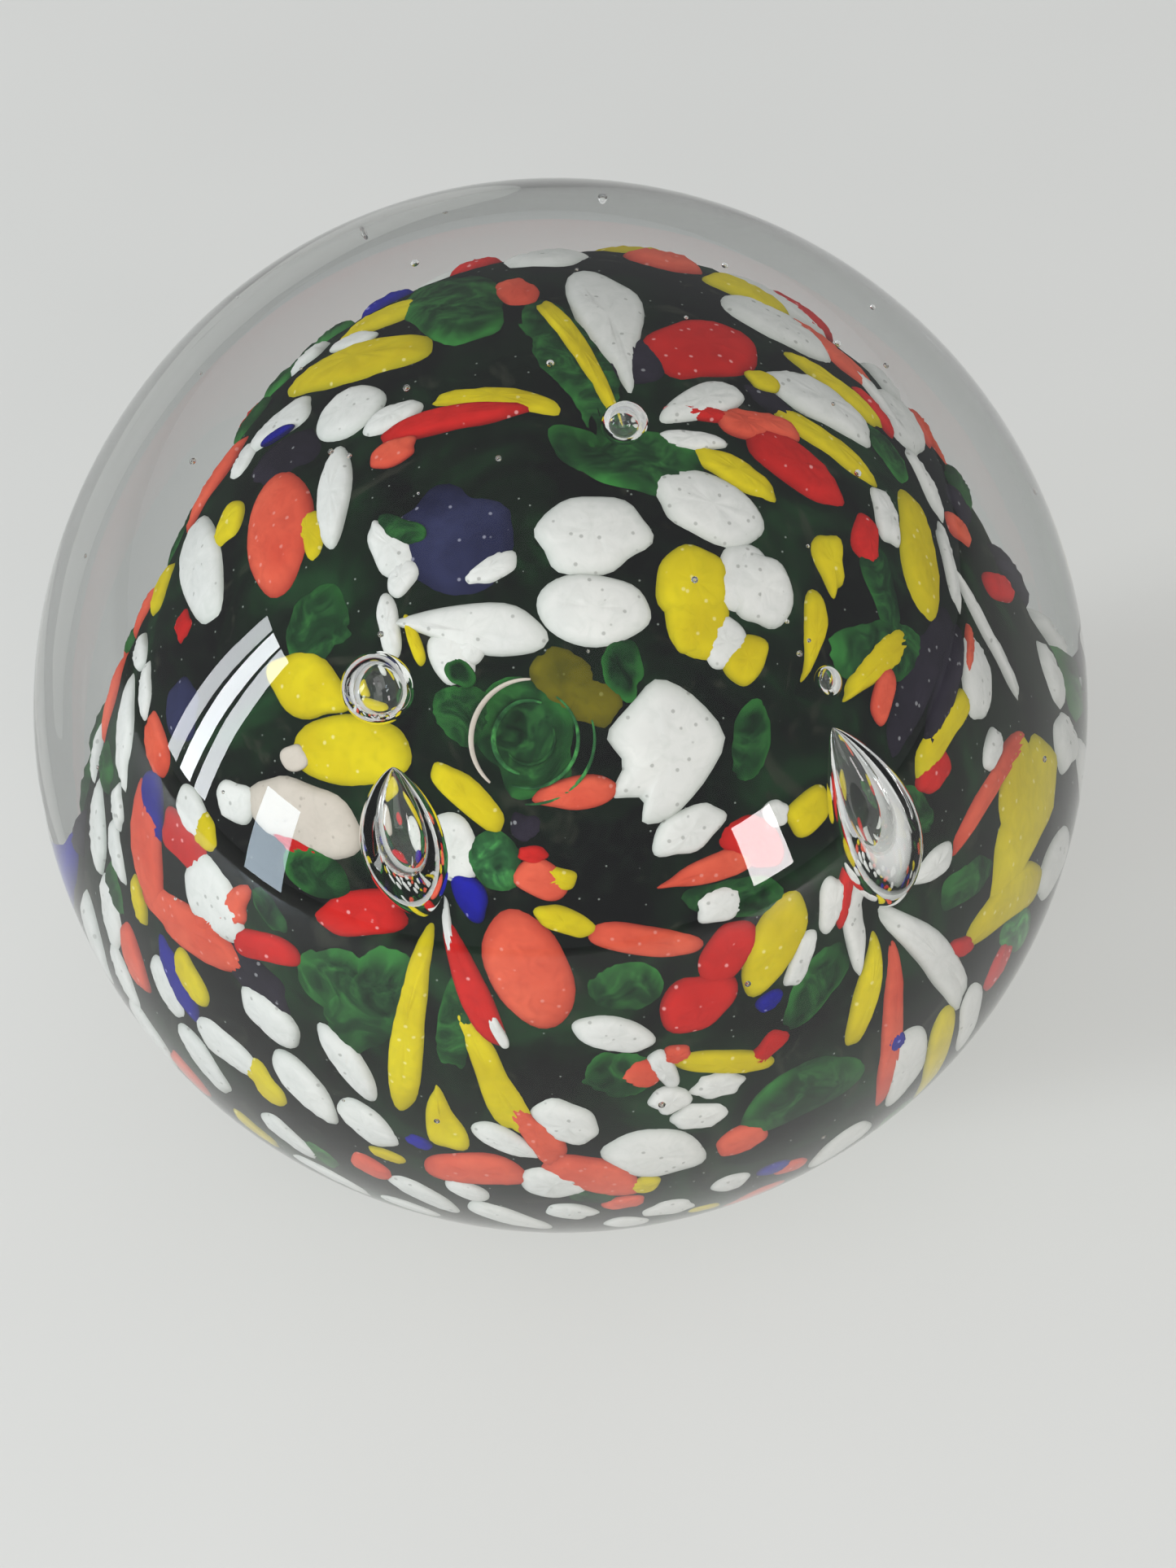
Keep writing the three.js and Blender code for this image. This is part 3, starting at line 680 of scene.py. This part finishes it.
# ---------------------------------------------------------------- materials
class Nodes:
    """A short way to write a procedural material. Lengths in its textures are in mm."""

    def __init__(self, name):
        self.material = bpy.data.materials.new(name)
        self.material.use_nodes = True
        self.tree = self.material.node_tree
        self.shader = self.tree.nodes["Principled BSDF"]
        self.output = self.tree.nodes["Material Output"]
        where = self.add("ShaderNodeTexCoord")
        scale = self.add("ShaderNodeMapping")
        scale.inputs["Scale"].default_value = (1 / MM,) * 3
        self.link(where.outputs["Object"], scale.inputs["Vector"])
        self.place = scale.outputs["Vector"]

    def add(self, kind, **settings):
        node = self.tree.nodes.new(kind)
        for key, value in settings.items():
            setattr(node, key, value)
        return node

    def link(self, source, target):
        self.tree.links.new(source, target)

    def noise(self, per_mm, detail=3.0, roughness=0.5, distortion=0.0):
        node = self.add("ShaderNodeTexNoise")
        node.inputs["Scale"].default_value = per_mm
        node.inputs["Detail"].default_value = detail
        node.inputs["Roughness"].default_value = roughness
        node.inputs["Distortion"].default_value = distortion
        self.link(self.place, node.inputs["Vector"])
        return node.outputs["Fac"]

    def cells(self, per_mm, feature="F1"):
        node = self.add("ShaderNodeTexVoronoi", feature=feature)
        node.inputs["Scale"].default_value = per_mm
        self.link(self.place, node.inputs["Vector"])
        return node.outputs["Distance"]

    def rim(self):
        return self.add("ShaderNodeAttribute", attribute_name="rim").outputs["Fac"]

    def ramp(self, value, *stops):
        """Colours or shares at positions along a value."""
        node = self.add("ShaderNodeValToRGB")
        elements = node.color_ramp.elements
        while len(elements) < len(stops):
            elements.new(0.5)
        for element, (position, colour) in zip(elements, stops):
            element.position = position
            element.color = (*colour, 1) if isinstance(colour, tuple) else (colour,) * 3 + (1,)
        self.link(value, node.inputs["Fac"])
        return node.outputs["Color"]

    def mix(self, share, first, second, blend="MIX"):
        node = self.add("ShaderNodeMix", data_type="RGBA", blend_type=blend)
        for index, value in ((0, share), (6, first), (7, second)):
            socket = node.inputs[index]
            if isinstance(value, bpy.types.NodeSocket):
                self.link(value, socket)
            else:
                socket.default_value = (*value, 1) if isinstance(value, tuple) else value
        return node.outputs[2]

    def bump(self, height, strength, distance_mm):
        node = self.add("ShaderNodeBump")
        node.inputs["Strength"].default_value = strength
        node.inputs["Distance"].default_value = distance_mm * MM
        self.link(height, node.inputs["Height"])
        self.link(node.outputs["Normal"], self.shader.inputs["Normal"])


def clear_glass():
    """Clear glass that lets shadow and diffuse rays straight through, so light reaches the chips."""
    made = Nodes("clear_glass")
    shader = made.shader
    shader.inputs["Base Color"].default_value = (0.985, 0.995, 0.985, 1)
    shader.inputs["Transmission Weight"].default_value = 1.0
    shader.inputs["IOR"].default_value = 1.5
    smudge = made.ramp(made.noise(0.08, 4, 0.6, 0.4), (0.52, 0.0), (0.8, 0.035))
    made.link(smudge, shader.inputs["Roughness"])
    made.bump(made.noise(0.06, 2), 0.04, 1.0)
    path = made.add("ShaderNodeLightPath")
    either = made.add("ShaderNodeMath", operation="MAXIMUM")
    made.link(path.outputs["Is Shadow Ray"], either.inputs[0])
    made.link(path.outputs["Is Diffuse Ray"], either.inputs[1])
    through = made.add("ShaderNodeBsdfTransparent")
    through.inputs["Color"].default_value = (0.96, 0.97, 0.96, 1)
    choice = made.add("ShaderNodeMixShader")
    made.link(either.outputs[0], choice.inputs["Fac"])
    made.link(shader.outputs[0], choice.inputs[1])
    made.link(through.outputs[0], choice.inputs[2])
    made.link(choice.outputs[0], made.output.inputs["Surface"])
    return made.material


def embedded(made, gloss=0.0, roughness=0.5):
    """Glass fused inside glass hardly shines of its own."""
    made.shader.inputs["Specular IOR Level"].default_value = gloss
    made.shader.inputs["Roughness"].default_value = roughness
    return made.material


def opaque_chip(name, body, pale, edge, speck, speck_share):
    """Opaque coloured glass: cloudy body, thinner edge of another tone that also holds painted contact
    shade along the outline, fine pits and seeds.
    """
    made = Nodes(name)
    cloud = made.ramp(made.noise(0.16, 3, 0.55, 0.5), (0.3, body), (0.72, pale))
    streak = made.ramp(made.noise(0.9, 4, 0.6, 1.2), (0.45, 0.0), (0.85, 0.35))
    toned = made.mix(streak, cloud, edge)
    # Towards the outline the colour goes to the edge tone: partly the thin glass there, partly painted
    # contact shade along the outline.
    rim = made.ramp(made.rim(), (0.72, 0.0), (0.9, 0.35), (1.0, 0.9))
    edge_toned_and_shaded = made.mix(rim, toned, edge)
    pits = made.ramp(made.cells(1.15), (0.0, speck_share), (0.10, speck_share), (0.16, 0.0))
    made.link(made.mix(pits, edge_toned_and_shaded, speck), made.shader.inputs["Base Color"])
    made.bump(made.noise(1.6, 3), 0.15, 0.1)
    return embedded(made)


def green_chip(name, strength):
    """See-through green glass over the dark gather: deep in the middle, bright where it is thin."""
    made = Nodes(name)
    deep, middle, light = (
        tuple(strength * part for part in tone)
        for tone in ((0.003, 0.012, 0.005), (0.010, 0.045, 0.014), (0.035, 0.16, 0.035))
    )
    cloud = made.ramp(made.noise(0.45, 4, 0.6, 1.6), (0.3, deep), (0.5, middle), (0.78, light))
    rim = made.ramp(made.rim(), (0.55, 0.0), (0.93, 0.55), (1.0, 0.2))
    bright = made.ramp(made.noise(0.25, 2), (0.42, (0.006, 0.03, 0.01)), (0.66, (0.05, 0.30, 0.05)))
    made.link(made.mix(rim, cloud, bright), made.shader.inputs["Base Color"])
    return embedded(made)


def gather_glass():
    """Dense bottle green, close to black, with greener and greyer clouds deep in it."""
    made = Nodes("gather_glass")
    deep = made.ramp(
        made.noise(0.13, 4, 0.55, 0.8),
        (0.42, (0.0012, 0.0016, 0.0014)),
        (0.55, (0.003, 0.010, 0.004)),
        (0.72, (0.010, 0.045, 0.014)),
    )
    grain = made.ramp(made.noise(0.7, 3, 0.6, 1.4), (0.48, 0.0), (0.8, 0.35))
    grained = made.mix(grain, deep, (0.012, 0.020, 0.013))
    cloud = made.ramp(made.noise(0.19, 3, 0.5, 2.2), (0.60, 0.0), (0.70, 0.5))
    clouded = made.mix(cloud, grained, (0.035, 0.038, 0.026))
    seeds = made.ramp(made.cells(1.1), (0.0, 0.8), (0.05, 0.8), (0.08, 0.0))
    made.link(made.mix(seeds, clouded, (0.25, 0.28, 0.25)), made.shader.inputs["Base Color"])
    return embedded(made)


def pale_floor():
    made = Nodes("pale_floor")
    tone = made.ramp(made.noise(0.01, 3), (0.3, (0.62, 0.62, 0.60)), (0.7, (0.66, 0.66, 0.64)))
    made.link(tone, made.shader.inputs["Base Color"])
    made.shader.inputs["Roughness"].default_value = 0.8
    return made.material


# Opaque tones: body, its paler clouds, edge (the thin edge's tone, also used as painted contact shade
# along the outline), the specks in it, and how strong the specks are.
OPAQUE_TONES = {
    "white": ((0.62, 0.62, 0.60), (0.70, 0.695, 0.665), (0.42, 0.45, 0.41), (0.26, 0.26, 0.24), 0.6),
    "cream": ((0.52, 0.46, 0.40), (0.60, 0.54, 0.47), (0.36, 0.33, 0.28), (0.3, 0.26, 0.22), 0.5),
    "yellow": ((0.50, 0.38, 0.006), (0.68, 0.56, 0.010), (0.30, 0.27, 0.008), (0.85, 0.80, 0.4), 0.4),
    "olive": ((0.045, 0.045, 0.004), (0.17, 0.14, 0.006), (0.012, 0.02, 0.006), (0.3, 0.3, 0.1), 0.4),
    "coral": ((0.56, 0.065, 0.035), (0.72, 0.13, 0.07), (0.30, 0.028, 0.018), (0.8, 0.45, 0.4), 0.3),
    "red": ((0.42, 0.008, 0.007), (0.60, 0.02, 0.016), (0.20, 0.004, 0.004), (0.8, 0.4, 0.4), 0.6),
    "blue": ((0.004, 0.004, 0.17), (0.012, 0.012, 0.34), (0.003, 0.003, 0.05), (0.4, 0.4, 0.8), 0.5),
    "black": ((0.006, 0.005, 0.009), (0.03, 0.024, 0.04), (0.004, 0.003, 0.006), (0.4, 0.4, 0.42), 0.5),
    "navy": ((0.006, 0.007, 0.03), (0.03, 0.034, 0.09), (0.004, 0.004, 0.015), (0.4, 0.4, 0.5), 0.5),
}

MATERIALS = {
    "clear": clear_glass(),
    "gather": gather_glass(),
    "green": green_chip("green_glass", 1.0),
    "bright_green": green_chip("bright_green_glass", 2.6),
}
for tone_name, tone_parts in OPAQUE_TONES.items():
    MATERIALS[tone_name] = opaque_chip(tone_name + "_glass", *tone_parts)


def finish_piece(piece, colour):
    piece.data.materials.append(MATERIALS[colour])
    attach(piece, "root")
    return piece


# ---------------------------------------------------------------- the paperweight
COVERED = []  # middle and reach of every chip that lies on the egg so far


def shell_outline():
    """The white shell: a diamond with a notch in its left edge, from its rounded corners in mm."""
    corners = np.array([
        (3.8, 0.7), (1.4, 2.7), (-1.2, 3.9), (-3.3, 3.4), (-2.0, 1.9), (-4.6, 1.1),
        (-2.3, -0.2), (-3.1, -2.3), (-0.8, -3.2), (1.0, -4.2), (2.6, -2.4),
    ])
    closed = np.vstack([corners, corners[:1]])
    steps = np.linspace(0, len(corners), CHIP_SIDES, endpoint=False)
    outline = np.stack([np.interp(steps, range(len(closed)), closed[:, i]) for i in (0, 1)], -1)
    return (np.roll(outline, 1, 0) + 2 * outline + np.roll(outline, -1, 0)) / 4


def build_chips():
    random = np.random.default_rng(SEED + 2)
    for node in sorted(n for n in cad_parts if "_chip_" in n):
        colour = node.split("_")[0]
        turn, down, outline = frame_outline(node, GROWTH, random)
        if node == SHELL_NODE:
            outline = shell_outline()
        body = Body()
        lift = random.uniform(*CHIP_LIFTS)
        body.add(*chip_shell(turn, down, outline, CHIP_HALF, lift, random))
        COVERED.append((egg(turn, down), 0.85 * np.linalg.norm(outline, axis=1).max()))
        piece = finish_piece(body.make("fused_" + node), colour)
        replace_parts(piece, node)


def scattered_chips():
    """Small chips at random where no others lie: round the back, and in a low band all round."""
    random = np.random.default_rng(SEED + 4)
    found = {tone: [] for tone in SMALL_CHIPS}
    for _ in range(SCATTER_TRIES):
        turn, down = random.uniform(BACK_START - 180, BACK_END), random.uniform(*SCATTER_DOWNS)
        length, width = random.uniform(*SCATTER_LENGTHS), random.uniform(*SCATTER_WIDTHS)
        slant = random.uniform(0, math.pi)
        tone = SCATTER_TONES[random.integers(len(SCATTER_TONES))]
        hidden = turn > BACK_START or down > LOW_BAND
        place, reach = egg(turn, down), 0.42 * length
        if hidden and all(np.linalg.norm(place - other) > reach + far for other, far in COVERED):
            COVERED.append((place, reach))
            outline = drawn_outline(length, width, 0, (math.cos(slant), math.sin(slant)), random)
            shell = chip_shell(turn, down, outline, SMALL_HALF, SCATTERED_LIFT, random)
            found[tone].append(shell)
    return found


def build_small_chips():
    """One piece per tone, of its small chips, flakes, scattered chips and threads."""
    random = np.random.default_rng(SEED + 3)
    for chips in SMALL_CHIPS.values():
        for *ends, _width, _taper in chips:
            turn, down, length, _slant = between(*ends)
            COVERED.append((egg(turn, down), length / 2))
    scattered = scattered_chips()
    for tone, chips in SMALL_CHIPS.items():
        body = Body()
        for *ends, width, taper in chips:
            lift = random.uniform(*SMALL_LIFTS) - (DARK_SINK if tone in DARK_TONES else 0)
            body.add(*small_chip(ends, width, taper, SMALL_HALF, lift, random))
        for flake_tone, *ends, width, taper in FLAKES:
            if flake_tone == tone:
                body.add(*small_chip(ends, width, taper, FLAKE_HALF, FLAKE_LIFT, random))
        for shell in scattered[tone]:
            body.add(*shell)
        for ring, start, end, thickness, thread_tone in SWIRL_THREADS:
            if thread_tone == tone:
                body.add(*thread_shell(*SWIRL_PLACE, ring, start, end, thickness))
        finish_piece(body.make(f"small_{tone}_chips"), tone)


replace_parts(finish_piece(casing(), "clear"), "clear_casing")
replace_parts(finish_piece(gather(), "gather"), "inner_gather")
build_chips()
build_small_chips()


# ---------------------------------------------------------------- stage, light and camera
def stage_floor():
    angle = np.linspace(0, 2 * math.pi, 64, endpoint=False)
    points = [[0, 0, 0]] + [[3000 * math.cos(a), 3000 * math.sin(a), 0] for a in angle]
    faces = [(0, 1 + i, 1 + (i + 1) % 64) for i in range(64)]
    floor = new_object("floor", np.array(points), faces)
    floor.data.materials.append(pale_floor())


def soft_light(name, azimuth, elevation, distance, width, height, radiance, colour, mirrored=True):
    """A rectangular soft box that faces the ball. Azimuth 0 is the front, 90 is +X."""
    data = bpy.data.lights.new(name, "AREA")
    data.shape = "RECTANGLE"
    data.size, data.size_y = width, height
    data.energy = radiance * math.pi * width * height
    data.color = colour
    lamp = bpy.data.objects.new(name, data)
    a, e = math.radians(azimuth), math.radians(elevation)
    towards = Vector((math.sin(a) * math.cos(e), -math.cos(a) * math.cos(e), math.sin(e)))
    lamp.location = Vector((0, 0, BALL_MIDDLE * MM)) + towards * distance
    lamp.rotation_mode = "QUATERNION"
    lamp.rotation_quaternion = towards.to_track_quat("Z", "Y")
    lamp.visible_glossy = mirrored
    bpy.context.scene.collection.objects.link(lamp)


DAYLIGHT = (0.93, 0.97, 1.0)
WINDOW_AZIMUTH = -86  # of the middle pane of the tall window on the left
WINDOW_STEP = 4.4  # degrees from pane to pane
WINDOW_PANES = (11.0, 20.0, 14.0)  # how bright each is


def lights():
    """Soft boxes: three panes and a lower patch on the left, one on the right, and two for filling."""
    for i, radiance in enumerate(WINDOW_PANES):
        azimuth = WINDOW_AZIMUTH + (i - 1) * WINDOW_STEP
        soft_light(f"window_pane_{i}", azimuth, 19, 0.6, 0.034, 0.35, radiance, DAYLIGHT)
    soft_light("window_lower", -64.5, 7, 0.6, 0.085, 0.18, 9.0, (0.72, 0.87, 1.0))
    soft_light("window_right", 34.5, 9, 0.6, 0.09, 0.14, 18.0, (1.0, 0.93, 0.94))
    soft_light("overhead", 10, 68, 1.2, 1.0, 1.0, 2.0, (1.0, 0.99, 0.97), mirrored=False)
    soft_light("front", -10, 25, 1.0, 0.6, 0.6, 1.6, (1.0, 0.99, 0.97), mirrored=False)
    world = bpy.data.worlds.new("studio")
    world.use_nodes = True
    world.node_tree.nodes["Background"].inputs["Color"].default_value = (0.86, 0.88, 0.9, 1)
    world.node_tree.nodes["Background"].inputs["Strength"].default_value = 0.55
    bpy.context.scene.world = world
    bpy.context.scene.view_settings.view_transform = "Standard"


CAMERA_ELEVATION = 50
CAMERA_ROLL = 9
CAMERA_DISTANCE = 0.24
CAMERA_LENS = 75.7
AIM_RIGHT = 0.0020  # the ball stands a little left of the middle of the picture and above it
AIM_DOWN = 0.0055


def camera():
    e, roll = math.radians(CAMERA_ELEVATION), math.radians(CAMERA_ROLL)
    back = Vector((0, -math.cos(e), math.sin(e)))
    right, up = Vector((1, 0, 0)), Vector((0, math.sin(e), math.cos(e)))
    tilted_up = up * math.cos(roll) + right * math.sin(roll)
    tilted_right = right * math.cos(roll) - up * math.sin(roll)
    ball = Vector((0, 0, BALL_MIDDLE * MM))
    data = bpy.data.cameras.new("camera")
    data.lens = CAMERA_LENS
    data.sensor_width = 36
    data.clip_start, data.clip_end = 0.01, 10
    made = bpy.data.objects.new("camera", data)
    made.location = ball + back * CAMERA_DISTANCE
    aim = ball + tilted_right * AIM_RIGHT - tilted_up * AIM_DOWN
    away = (made.location - aim).normalized()
    side = tilted_up.cross(away).normalized()
    top = away.cross(side)
    made.rotation_mode = "QUATERNION"
    made.rotation_quaternion = Matrix((side, top, away)).transposed().to_quaternion()
    bpy.context.scene.collection.objects.link(made)
    bpy.context.scene.camera = made


stage_floor()
lights()
camera()
